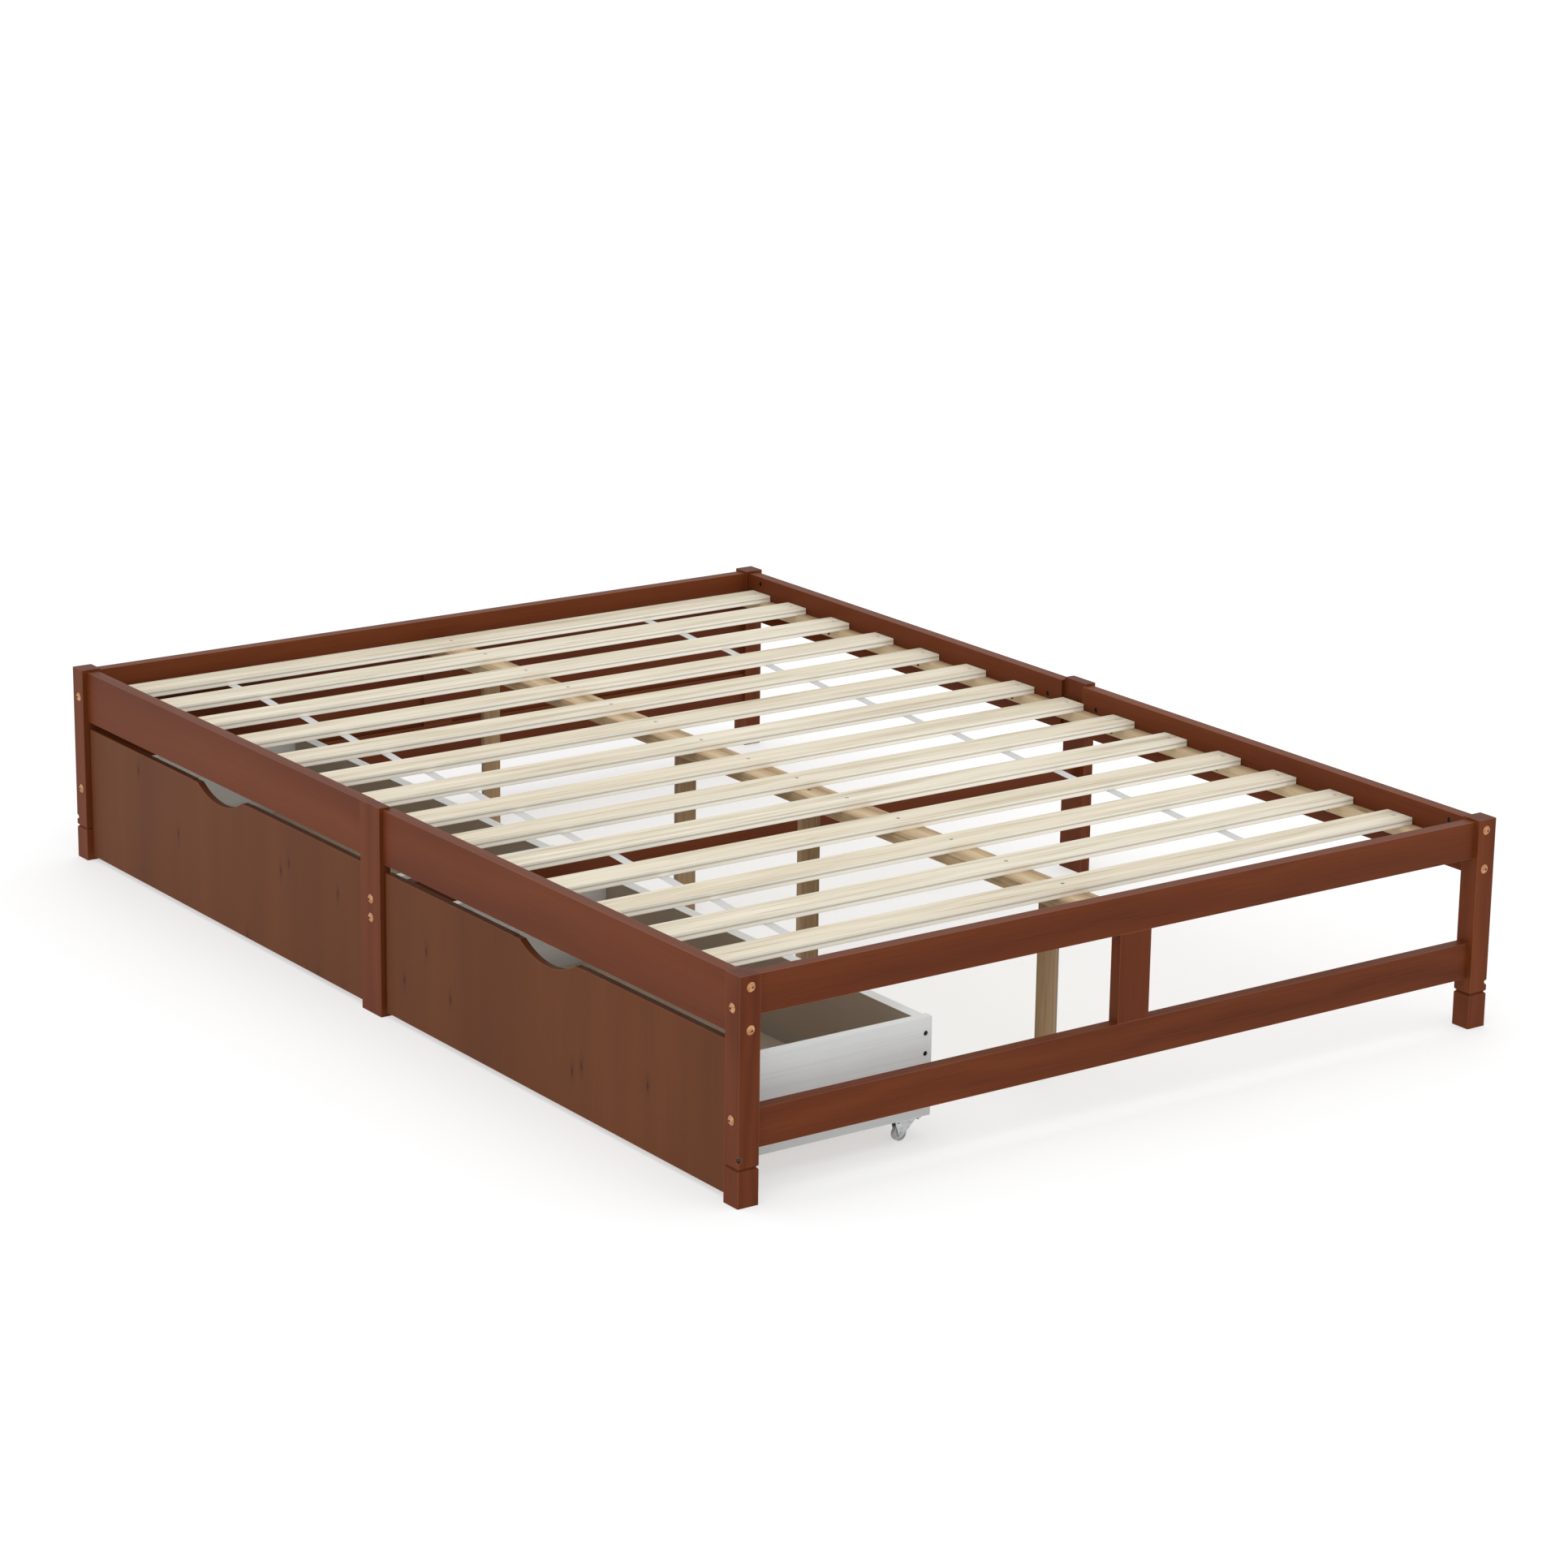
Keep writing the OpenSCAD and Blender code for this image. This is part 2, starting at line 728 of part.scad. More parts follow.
module drawer_bottom() {
    edge = box_inset + box_side - groove_depth;
    color(taupe_board)
        block([front_inner, edge, bottom_z], [back_x, front_length - edge, bottom_z + bottom_thickness]);
}

// ---- Casters: the wheel is nearer the front end of its plate ----

function caster_x(i) = i % 2 == 0 ? near_caster_x : far_caster_x;

// Puts its children at one caster: x = 0 is the plate's near end, y = 0 the wheel's middle
module place_caster(i) {
    y = box_inset + caster_y;
    translate([caster_x(i), i < 2 ? y : front_length - y, 0]) children();
}

module caster_bracket() {
    plate_z = box_z - plate_thickness;
    wheel_z = wheel_diameter / 2;
    gap = wheel_width / 2 + wheel_side_gap;
    difference() {
        union() {
            block([0, -plate_width / 2, plate_z], [plate_length, plate_width / 2, box_z]);
            for (y = [gap + cheek_thickness, -gap])
                translate([0, y, 0]) rotate([90, 0, 0]) linear_extrude(cheek_thickness) {
                    polygon([[2, plate_z + 0.5], [plate_length - 4, plate_z + 0.5],
                             [wheel_offset + 4.4, wheel_z - 2.4], [wheel_offset - 4.8, wheel_z - 1.4]]);
                    translate([wheel_offset, wheel_z]) circle(r = 5);
                }
        }
        along_y(-plate_width, plate_width, wheel_offset, wheel_z, axle_radius + 0.02);
        for (x = [plate_screw_inset, plate_length - plate_screw_inset])
            along_z(plate_z - 1, box_z + 1, x, -plate_screw_y,
                    plate_screw_scale * screw_shank / 2 + 0.1);
    }
}

module at_plate_screws() {
    for (i = [0, 1], x = [plate_screw_inset, plate_length - plate_screw_inset])
        place_caster(i)
            translate([x, -plate_screw_y, box_z - plate_thickness - plate_screw_scale * screw_cone])
                rotate([180, 0, 0]) scale(plate_screw_scale) children();
}

module caster_axle() {
    half = wheel_width / 2 + wheel_side_gap + cheek_thickness;
    wheel_z = wheel_diameter / 2;
    along_y(-half, half, wheel_offset, wheel_z, axle_radius);
    for (y = [-half - axle_head_height, half])
        along_y(y, y + axle_head_height, wheel_offset, wheel_z, axle_head_radius);
}

// A wheel with a rounded tread, shallow dished sides and a running-fit bore
module caster_wheel() {
    radius = wheel_diameter / 2;
    half = wheel_width / 2;
    edge = 1.2;
    dish = 1;
    bore = axle_radius + axle_clearance;
    translate([wheel_offset, 0, radius]) rotate([90, 0, 0])
        rotate_extrude($fn = 72)
            polygon([[bore, -half], [4, -half], [5, -half + dish], [radius - 3, -half + dish],
                     [radius - 2.4, -half], [radius - edge, -half], [radius, -half + edge],
                     [radius, half - edge], [radius - edge, half], [radius - 2.4, half],
                     [radius - 3, half - dish], [5, half - dish], [4, half], [bore, half]]);
}

module at_all_casters() {
    for (i = [0, 1]) {
        place_caster(i) children();
        flip_drawer() place_caster(i) children();
    }
}

module drawer_caster_brackets() {
    color(zinc) at_all_casters() caster_bracket();
}

module drawer_caster_axles() {
    color(zinc) at_all_casters() caster_axle();
}

module drawer_wheel(number) {
    color(grey_plastic) place_caster(number - 1) caster_wheel();
}

// Screws of the back and of the caster plates, and the dowels of the front
module half_fixings() {
    at_side_screws() translate([0, 0, -screw_recess]) wood_screw(fixing_reach);
    at_plate_screws() wood_screw(plate_screw_length / plate_screw_scale);
}

module drawer_fixings() {
    color(zinc) {
        half_fixings();
        flip_drawer() half_fixings();
    }
    color(beech) at_front_dowels()
        along_x(front_inner - front_dowel_depth, front_inner + dowel_half, 0, 0, dowel_diameter / 2);
}

// ---- Every node by its name ----

place(left, foot) corner_post();  // corner_post_foot_left
place(right, foot) corner_post();  // corner_post_foot_right
place(left, head) corner_post();  // corner_post_head_left
place(right, head) corner_post();  // corner_post_head_right
place(left, foot) foot_block();  // foot_block_foot_left
place(right, foot) foot_block();  // foot_block_foot_right
place(left, head) foot_block();  // foot_block_head_left
place(right, head) foot_block();  // foot_block_head_right
place(left, foot) mid_post();  // mid_post_left
place(right, foot) mid_post();  // mid_post_right
place(left, foot) side_rail();  // side_rail_foot_left
place(right, foot) side_rail();  // side_rail_foot_right
place(left, head) side_rail();  // side_rail_head_left
place(right, head) side_rail();  // side_rail_head_right
place(left, foot) upper_end_rail(false);  // foot_upper_rail
place(left, foot) lower_end_rail(false);  // foot_lower_rail
color(walnut) place(left, foot) end_stile();  // foot_stile
place(left, head) upper_end_rail(true);  // head_upper_rail
place(left, head) lower_end_rail(true);  // head_lower_rail
color(walnut) place(left, head) end_stile();  // head_stile
place(left, head) head_panel();  // head_panel_left
place(right, head) head_panel();  // head_panel_right
cross_rail();
place(left, foot) ledger();  // ledger_left
place(right, foot) ledger();  // ledger_right
centre_beam();
centre_leg(1);  // centre_leg_1
centre_leg(2);  // centre_leg_2
centre_leg(3);  // centre_leg_3
centre_leg(4);  // centre_leg_4
slats();
slat_tapes();
frame_bolts();
barrel_nuts();
frame_dowels();
wood_screws();
place_drawer(foot) drawer_front();  // foot_drawer_front
place_drawer(foot) drawer_side();  // foot_drawer_side_near
place_drawer(foot) flip_drawer() drawer_side();  // foot_drawer_side_far
place_drawer(foot) drawer_back();  // foot_drawer_back
place_drawer(foot) drawer_bottom();  // foot_drawer_bottom
place_drawer(foot) drawer_caster_brackets();  // foot_drawer_caster_brackets
place_drawer(foot) drawer_caster_axles();  // foot_drawer_caster_axles
place_drawer(foot) drawer_wheel(1);  // foot_drawer_wheel_1
place_drawer(foot) drawer_wheel(2);  // foot_drawer_wheel_2
place_drawer(foot) drawer_wheel(3);  // foot_drawer_wheel_3
place_drawer(foot) drawer_wheel(4);  // foot_drawer_wheel_4
place_drawer(foot) drawer_fixings();  // foot_drawer_fixings
place_drawer(head) drawer_front();  // head_drawer_front
place_drawer(head) drawer_side();  // head_drawer_side_near
place_drawer(head) flip_drawer() drawer_side();  // head_drawer_side_far
place_drawer(head) drawer_back();  // head_drawer_back
place_drawer(head) drawer_bottom();  // head_drawer_bottom
place_drawer(head) drawer_caster_brackets();  // head_drawer_caster_brackets
place_drawer(head) drawer_caster_axles();  // head_drawer_caster_axles
place_drawer(head) drawer_wheel(1);  // head_drawer_wheel_1
place_drawer(head) drawer_wheel(2);  // head_drawer_wheel_2
place_drawer(head) drawer_wheel(3);  // head_drawer_wheel_3
place_drawer(head) drawer_wheel(4);  // head_drawer_wheel_4
place_drawer(head) drawer_fixings();  // head_drawer_fixings
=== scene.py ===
"""Looks of the platform bed: materials, eased edges, webbing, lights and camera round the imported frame."""
import math

import bmesh
import bpy
from mathutils import Matrix, Vector


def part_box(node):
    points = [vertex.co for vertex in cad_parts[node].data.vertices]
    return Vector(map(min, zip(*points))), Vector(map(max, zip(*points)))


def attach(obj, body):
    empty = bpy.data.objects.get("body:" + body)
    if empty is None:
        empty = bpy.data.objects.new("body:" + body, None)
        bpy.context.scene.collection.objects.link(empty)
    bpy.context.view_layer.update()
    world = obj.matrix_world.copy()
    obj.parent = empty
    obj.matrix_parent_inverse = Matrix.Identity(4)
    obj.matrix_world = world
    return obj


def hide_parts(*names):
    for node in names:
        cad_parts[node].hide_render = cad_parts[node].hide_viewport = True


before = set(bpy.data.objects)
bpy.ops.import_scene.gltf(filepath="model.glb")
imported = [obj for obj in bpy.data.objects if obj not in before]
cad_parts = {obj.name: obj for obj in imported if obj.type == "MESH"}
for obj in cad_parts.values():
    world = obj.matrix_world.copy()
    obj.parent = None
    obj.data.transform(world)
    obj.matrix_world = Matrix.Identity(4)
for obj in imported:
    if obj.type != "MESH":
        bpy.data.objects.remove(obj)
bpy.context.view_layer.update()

MM = 0.001
DRAWERS = ("foot_drawer", "head_drawer")
SLAT_COUNT = 14
SLAT_SHARE = 0.4  # of the pitch from one slat to the next
LEAST_SLAT_GAP = 70 * MM

# Webbing and its staples
TAPE_WIDTH = 18 * MM
TAPE_THICKNESS = 1.1 * MM
TAPE_SAG = 2.5 * MM
TAPE_STEPS = 8
TAPE_END_INSET = 6 * MM
STAPLE_WIRE = 0.7 * MM
STAPLE_CROWN = 10 * MM

# Camera: the photograph's viewing angle
CAMERA_AZIMUTH = 35.657
CAMERA_ELEVATION = 15.996
CAMERA_ROLL = 0.821
CAMERA_PLACE = Vector((-4.1345, -5.8726, 2.3294))
CAMERA_LENS = 101.66


# ---- Material nodes ----

def srgb(red, green, blue):
    """Linear colour of an sRGB one given as 0 to 255."""
    def linear(value):
        value /= 255
        return value / 12.92 if value <= 0.04045 else ((value + 0.055) / 1.055) ** 2.4
    return (linear(red), linear(green), linear(blue), 1.0)


class Finish:
    """A Principled material and the nodes that feed it."""

    def __init__(self, name, **sockets):
        self.material = bpy.data.materials.new(name)
        self.material.use_nodes = True
        self.tree = self.material.node_tree
        self.shader = self.tree.nodes["Principled BSDF"]
        for key, value in sockets.items():
            self.feed(self.shader.inputs[key.replace("_", " ")], value)

    def feed(self, socket, value):
        if isinstance(value, bpy.types.NodeSocket):
            self.tree.links.new(value, socket)
        else:
            socket.default_value = value

    def add(self, kind, inputs=(), **settings):
        made = self.tree.nodes.new("ShaderNode" + kind)
        for key, value in settings.items():
            setattr(made, key, value)
        for key, value in dict(inputs).items():
            self.feed(made.inputs[key], value)
        return made

    def math(self, operation, first, second=0.0, clamp=False):
        node = self.add("Math", {0: first, 1: second}, operation=operation, use_clamp=clamp)
        return node.outputs[0]

    def mix(self, factor, first, second, blend="MIX"):
        node = self.add("Mix", {0: factor, 6: first, 7: second}, data_type="RGBA", blend_type=blend)
        return node.outputs[2]

    def between(self, value, low, high, to_low=0.0, to_high=1.0):
        node = self.add("MapRange", {0: value, 1: low, 2: high, 3: to_low, 4: to_high})
        return node.outputs[0]

    def ramp(self, value, *stops):
        node = self.add("ValToRGB", {0: value})
        marks = node.color_ramp.elements
        while len(marks) < len(stops):
            marks.new(0.5)
        for mark, (place, colour) in zip(marks, stops):
            mark.position = place
            mark.color = colour
        return node.outputs[0]

    def noise(self, vector, scale, detail=3.0, roughness=0.55):
        inputs = {"Vector": vector, "Scale": scale, "Detail": detail, "Roughness": roughness}
        return self.add("TexNoise", inputs).outputs[0]

    def stretched(self, vector, x, y, z):
        return self.add("VectorMath", {0: vector, 1: (x, y, z)}, operation="MULTIPLY").outputs[0]

    def place(self):
        """The piece's own coordinates in metres, the same as the frame's at rest."""
        return self.add("TexCoord").outputs["Object"]

    def parts(self, vector):
        return self.add("SeparateXYZ", {0: vector}).outputs

    def joined(self, x, y, z):
        return self.add("CombineXYZ", {0: x, 1: y, 2: z}).outputs[0]

    def bump(self, height, distance, strength=1.0):
        inputs = {"Height": height, "Distance": distance, "Strength": strength}
        self.feed(self.shader.inputs["Normal"], self.add("Bump", inputs).outputs[0])

    def edge(self, radius):
        """1 along sharp edges, fading to 0 at the given distance from them."""
        rounded = self.add("Bevel", {"Radius": radius}, samples=4).outputs[0]
        flat = self.add("NewGeometry").outputs["Normal"]
        facing = self.add("VectorMath", {0: rounded, 1: flat}, operation="DOT_PRODUCT").outputs["Value"]
        return self.between(facing, 0.99, 0.80)


def along_grain(finish, grain):
    """Coordinates with the grain direction first, moved by a different amount on each piece."""
    own = finish.add("ObjectInfo").outputs["Random"]
    x, y, z = finish.parts(finish.place())
    first, second, third = {"X": (x, y, z), "Y": (y, x, z), "Z": (z, y, x)}[grain]
    shift = finish.math("MULTIPLY", own, 7.3)
    return (finish.math("ADD", first, shift), finish.math("ADD", second, shift), third)


def end_grain(finish, grain):
    """1 on faces that cut across the grain."""
    normal = finish.parts(finish.add("NewGeometry").outputs["Normal"])["XYZ".index(grain)]
    return finish.between(finish.math("ABSOLUTE", normal), 0.6, 0.9)


def growth_rings(finish, grain, spacing, wander):
    """Early and late wood of a sawn board, 0 to 1, whose rings wander along the grain."""
    first, second, third = along_grain(finish, grain)
    slow = finish.stretched(finish.joined(first, second, third), 0.9, 1.0, 1.0)
    drift = finish.noise(slow, 2.6, 2.0)
    pith = finish.math("ADD", third, finish.math("MULTIPLY", drift, wander))
    across = finish.math("MULTIPLY", second, 0.55)
    square = finish.math("ADD", finish.math("MULTIPLY", pith, pith),
                         finish.math("MULTIPLY", across, across))
    turns = finish.math("DIVIDE", finish.math("SQRT", square), spacing)
    return finish.math("PINGPONG", turns, 1.0)


def fibres(finish, grain, across=420.0, along=9.0):
    """Fine streaks, given as how many there are in a metre across the grain and along it."""
    first, second, third = along_grain(finish, grain)
    fine = finish.stretched(finish.joined(first, second, third), along, across, across)
    return finish.noise(fine, 1.0, 4.0, 0.6)


def knots(finish, grain, cell, share, size):
    """Small dark knots right through a board, longer along the grain: 1 in a knot's middle."""
    first, second, _ = along_grain(finish, grain)
    spread = finish.joined(finish.math("MULTIPLY", first, 0.3), second, 0.0)
    inputs = {"Vector": spread, "Scale": 1 / cell, "Randomness": 1.0}
    cells = finish.add("TexVoronoi", inputs, voronoi_dimensions="2D")
    chosen = finish.math("LESS_THAN", finish.parts(cells.outputs["Color"])[0], share)
    middle = finish.between(cells.outputs["Distance"], size, size * 0.35)
    return finish.math("MULTIPLY", chosen, middle)


def stained_wood(name, grain, dark, middle, light, figure=0.5, knotty=0.0, ring_width=0.011):
    """Softwood with a walnut stain under a satin lacquer."""
    finish = Finish(name, IOR=1.45, Specular_IOR_Level=0.10)
    ring = growth_rings(finish, grain, ring_width, 0.10)
    fibre = fibres(finish, grain)
    first, second, third = along_grain(finish, grain)
    broad = finish.noise(finish.stretched(finish.joined(first, second, third), 0.8, 9.0, 9.0), 1.0, 2.0)
    tone = finish.math("ADD", finish.math("MULTIPLY", ring, figure * 0.32),
                       finish.math("MULTIPLY", fibre, 0.42))
    tone = finish.math("ADD", tone, finish.math("MULTIPLY", broad, 0.5))
    tone = finish.between(tone, 0.22, 0.98)
    colour = finish.ramp(tone, (0.0, dark), (0.5, middle), (1.0, light))
    pores = finish.between(fibres(finish, grain, 1500.0, 60.0), 0.36, 0.30)
    colour = finish.mix(finish.math("MULTIPLY", pores, 0.35), colour, dark)
    if knotty:
        knot = knots(finish, grain, 60 * MM, knotty, 0.05)
        halo = knots(finish, grain, 60 * MM, knotty, 0.15)
        colour = finish.mix(finish.math("MULTIPLY", halo, 0.45), colour, dark)
        colour = finish.mix(finish.math("MULTIPLY", knot, 0.75), colour, srgb(38, 18, 12))
    colour = finish.mix(finish.math("MULTIPLY", end_grain(finish, grain), 0.55), colour, dark)
    # lighter edges: partly stain rubbed through at the arris, partly a painted highlight along it
    edge_wear_and_highlight = finish.math("MULTIPLY", finish.edge(1.6 * MM), 0.42)
    colour = finish.mix(edge_wear_and_highlight, colour, srgb(176, 112, 72))
    finish.feed(finish.shader.inputs["Base Color"], colour)
    finish.feed(finish.shader.inputs["Roughness"], finish.between(fibre, 0.3, 0.7, 0.40, 0.52))
    finish.bump(finish.math("SUBTRACT", fibre, finish.math("MULTIPLY", pores, 0.6)), 0.12 * MM, 0.5)
    return finish.material


def raw_wood(name, grain, dark, middle, light, figure=0.6, knotty=0.12):
    """Planed softwood with no finish."""
    finish = Finish(name, IOR=1.45, Specular_IOR_Level=0.25)
    ring = growth_rings(finish, grain, 0.014, 0.12)
    fibre = fibres(finish, grain)
    tone = finish.math("ADD", finish.math("MULTIPLY", ring, figure * 0.6),
                       finish.math("MULTIPLY", fibre, 0.7))
    tone = finish.between(tone, 0.20, 0.95)
    colour = finish.ramp(tone, (0.0, dark), (0.5, middle), (1.0, light))
    knot = knots(finish, grain, 110 * MM, knotty, 0.06)
    colour = finish.mix(finish.math("MULTIPLY", knot, 0.6), colour, srgb(112, 78, 48))
    finish.feed(finish.shader.inputs["Base Color"], colour)
    finish.feed(finish.shader.inputs["Roughness"], finish.between(fibre, 0.3, 0.7, 0.62, 0.74))
    finish.bump(fibre, 0.15 * MM, 0.5)
    return finish.material


def laminated_slat(name):
    """Poplar plywood strip: veneer grain along it on top, thin layers along its edges."""
    finish = Finish(name, IOR=1.45, Specular_IOR_Level=0.22)
    x, y, z = finish.parts(finish.place())
    low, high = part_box("slats")
    pitch = (high.y - low.y) / (SLAT_COUNT - SLAT_SHARE)
    number = finish.math("FLOOR", finish.math("DIVIDE", finish.math("SUBTRACT", y, low.y), pitch))
    own = finish.add("TexWhiteNoise", {"W": number}, noise_dimensions="1D").outputs[0]
    moved = finish.math("ADD", x, finish.math("MULTIPLY", own, 9.0))
    fine = finish.stretched(finish.joined(moved, y, z), 5.0, 260.0, 260.0)
    streak = finish.noise(fine, 1.0, 4.0, 0.6)
    broad = finish.stretched(finish.joined(moved, y, z), 2.2, 46.0, 0.0)
    figure = finish.noise(broad, 1.0, 3.0, 0.5)
    tone = finish.math("ADD", finish.math("MULTIPLY", streak, 0.5), finish.math("MULTIPLY", figure, 0.5))
    veneer = finish.ramp(finish.between(tone, 0.34, 0.66), (0.0, srgb(176, 162, 138)),
                         (0.45, srgb(212, 203, 182)), (1.0, srgb(232, 226, 210)))
    veneer = finish.mix(finish.math("MULTIPLY", own, 0.22), veneer, srgb(208, 192, 164))
    stains = finish.noise(finish.stretched(finish.joined(moved, y, z), 9.0, 60.0, 0.0), 1.0, 2.0)
    veneer = finish.mix(finish.between(stains, 0.68, 0.80, 0.0, 0.45), veneer, srgb(150, 128, 96))
    layer = finish.math("DIVIDE", finish.math("SUBTRACT", z, low.z), high.z - low.z)
    wavy = finish.noise(finish.stretched(finish.joined(moved, 0.0, y), 3.0, 1.0, 7.0), 1.0, 2.0)
    layer = finish.math("ADD", layer, finish.math("MULTIPLY", wavy, 0.12))
    band = finish.math("PINGPONG", finish.math("MULTIPLY", layer, 3.0), 1.0)
    edge = finish.ramp(band, (0.0, srgb(180, 166, 142)), (0.3, srgb(228, 221, 204)),
                       (0.7, srgb(246, 242, 230)))
    normal = finish.parts(finish.add("NewGeometry").outputs["Normal"])[2]
    top = finish.between(finish.math("ABSOLUTE", normal), 0.55, 0.85)
    colour = finish.mix(top, edge, veneer)
    finish.feed(finish.shader.inputs["Base Color"], colour)
    finish.feed(finish.shader.inputs["Roughness"], finish.between(streak, 0.3, 0.7, 0.60, 0.74))
    finish.bump(streak, 0.18 * MM, 0.5)
    return finish.material


def foil_board(name, face, soiled, speckle, inner=None, painted_foot_shade=None):
    """Board with a thin foil: faint print of grain, a little soiling and lighter edges, partly a painted
    highlight.

    inner is the axis, the sign and the colour of the face towards the inside of the drawer,
    and the last argument is the colour of a painted shade that darkens the board along its foot.
    """
    finish = Finish(name, IOR=1.5, Specular_IOR_Level=0.4)
    place = finish.place()
    cloud = finish.noise(place, 7.0, 3.0)
    fine = finish.noise(place, 900.0, 2.0)
    print_lines = finish.noise(finish.stretched(place, 3.0, 3.0, 190.0), 1.0, 3.0)
    colour = finish.mix(finish.between(cloud, 0.35, 0.7, 0.0, 0.5), face, soiled)
    if inner:
        axis, sign, inner_colour = inner
        normal = finish.parts(finish.add("NewGeometry").outputs["Normal"])[axis]
        facing = finish.between(finish.math("MULTIPLY", normal, sign), 0.90, 0.97)
        colour = finish.mix(facing, colour, inner_colour)
    colour = finish.mix(finish.between(print_lines, 0.45, 0.62, 0.0, speckle), colour, srgb(120, 116, 108))
    if painted_foot_shade:
        # painted shade: the board darkens towards its foot, from 85 mm down to 45 mm above the floor
        low = finish.between(finish.parts(place)[2], 0.085, 0.045, 0.0, 0.55)
        colour = finish.mix(low, colour, painted_foot_shade)
    # lighter edges: partly wear, partly a painted highlight along the arris
    edge_wear_and_highlight = finish.math("MULTIPLY", finish.edge(1.2 * MM), 0.5)
    colour = finish.mix(edge_wear_and_highlight, colour, srgb(236, 234, 226))
    finish.feed(finish.shader.inputs["Base Color"], colour)
    finish.feed(finish.shader.inputs["Roughness"], finish.between(fine, 0.3, 0.7, 0.42, 0.54))
    finish.bump(fine, 0.05 * MM, 0.4)
    return finish.material


def plated_metal(name, bright, dull, roughness, metallic=1.0):
    """Plated steel with faint turning marks and dulled patches."""
    finish = Finish(name, Metallic=metallic)
    place = finish.place()
    patch = finish.noise(place, 160.0, 3.0)
    marks = finish.noise(finish.stretched(place, 900.0, 900.0, 2600.0), 1.0, 2.0)
    colour = finish.mix(finish.between(patch, 0.35, 0.7), bright, dull)
    finish.feed(finish.shader.inputs["Base Color"], colour)
    finish.feed(finish.shader.inputs["Roughness"],
                finish.between(marks, 0.3, 0.7, roughness * 0.75, roughness * 1.35))
    finish.bump(marks, 0.02 * MM, 0.3)
    return finish.material


def moulded_plastic(name, colour, darker):
    finish = Finish(name, IOR=1.49, Specular_IOR_Level=0.5)
    place = finish.place()
    fine = finish.noise(place, 1400.0, 2.0)
    scuff = finish.noise(place, 130.0, 4.0)
    scuffed = finish.mix(finish.between(scuff, 0.4, 0.75), colour, darker)
    finish.feed(finish.shader.inputs["Base Color"], scuffed)
    finish.feed(finish.shader.inputs["Roughness"], finish.between(scuff, 0.3, 0.7, 0.34, 0.52))
    finish.bump(fine, 0.04 * MM, 0.4)
    return finish.material


def webbing_cloth(name):
    """Flat woven polyester tape: ribs across it and a finer warp along it."""
    finish = Finish(name, IOR=1.45, Specular_IOR_Level=0.3, Sheen_Weight=0.25, Sheen_Roughness=0.4)
    x, y, z = finish.parts(finish.place())
    rib = finish.math("PINGPONG", finish.math("MULTIPLY", y, 1 / (0.9 * MM)), 1.0)
    warp = finish.math("PINGPONG", finish.math("MULTIPLY", x, 1 / (0.6 * MM)), 1.0)
    weave = finish.math("MULTIPLY", rib, warp)
    soil = finish.noise(finish.place(), 24.0, 3.0)
    colour = finish.mix(finish.between(weave, 0.0, 0.6), srgb(176, 177, 176), srgb(226, 227, 226))
    colour = finish.mix(finish.between(soil, 0.5, 0.8, 0.0, 0.3), colour, srgb(180, 176, 166))
    finish.feed(finish.shader.inputs["Base Color"], colour)
    finish.shader.inputs["Roughness"].default_value = 0.72
    finish.bump(weave, 0.25 * MM, 0.8)
    return finish.material


def studio_floor(name):
    """White sweep that is lit from behind, so that shadows on it stay faint."""
    finish = Finish(name, Roughness=0.75, Specular_IOR_Level=0.1)
    cloud = finish.noise(finish.place(), 0.8, 2.0)
    finish.feed(finish.shader.inputs["Base Color"],
                finish.mix(cloud, srgb(190, 190, 190), srgb(187, 187, 187)))
    finish.shader.inputs["Emission Color"].default_value = (1, 1, 1, 1)
    finish.shader.inputs["Emission Strength"].default_value = 0.5
    return finish.material


# ---- Pieces ----

def dress(node, material, ease=None, segments=3):
    """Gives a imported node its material, and eases its sharp edges."""
    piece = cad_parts[node]
    piece.data.materials.clear()
    piece.data.materials.append(material)
    if ease:
        bevel = piece.modifiers.new("eased_edges", "BEVEL")
        bevel.width = ease
        bevel.segments = segments
        bevel.limit_method = "ANGLE"
        bevel.angle_limit = math.radians(50)


def new_piece(name, mesh_data, material, body):
    mesh = bpy.data.meshes.new(name)
    mesh_data.to_mesh(mesh)
    mesh_data.free()
    mesh.materials.append(material)
    piece = bpy.data.objects.new(name, mesh)
    bpy.context.scene.collection.objects.link(piece)
    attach(piece, body)
    return piece


def slat_edges():
    """Lowest and highest Y of each slat, from the foot to the head."""
    marks = sorted({round(v.co.y, 4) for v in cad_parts["slats"].data.vertices})
    edges = [[marks[0], marks[0]]]
    for mark in marks[1:]:
        if mark - edges[-1][1] > LEAST_SLAT_GAP:
            edges.append([mark, mark])
        edges[-1][1] = mark
    return edges


def tape_profile(edges, top):
    """Y and top Z along a tape: flat under each slat and sagging a little between two."""
    points = []
    for (_, left_end), (right_start, _) in zip(edges, edges[1:]):
        span = right_start - left_end
        for i in range(TAPE_STEPS + 1):
            share = i / TAPE_STEPS
            points.append((left_end + span * share, top - TAPE_SAG * math.sin(math.pi * share) ** 2))
    start = edges[0][0] + TAPE_END_INSET
    finish = edges[-1][1] - TAPE_END_INSET
    return [(start, top)] + points + [(finish, top)]


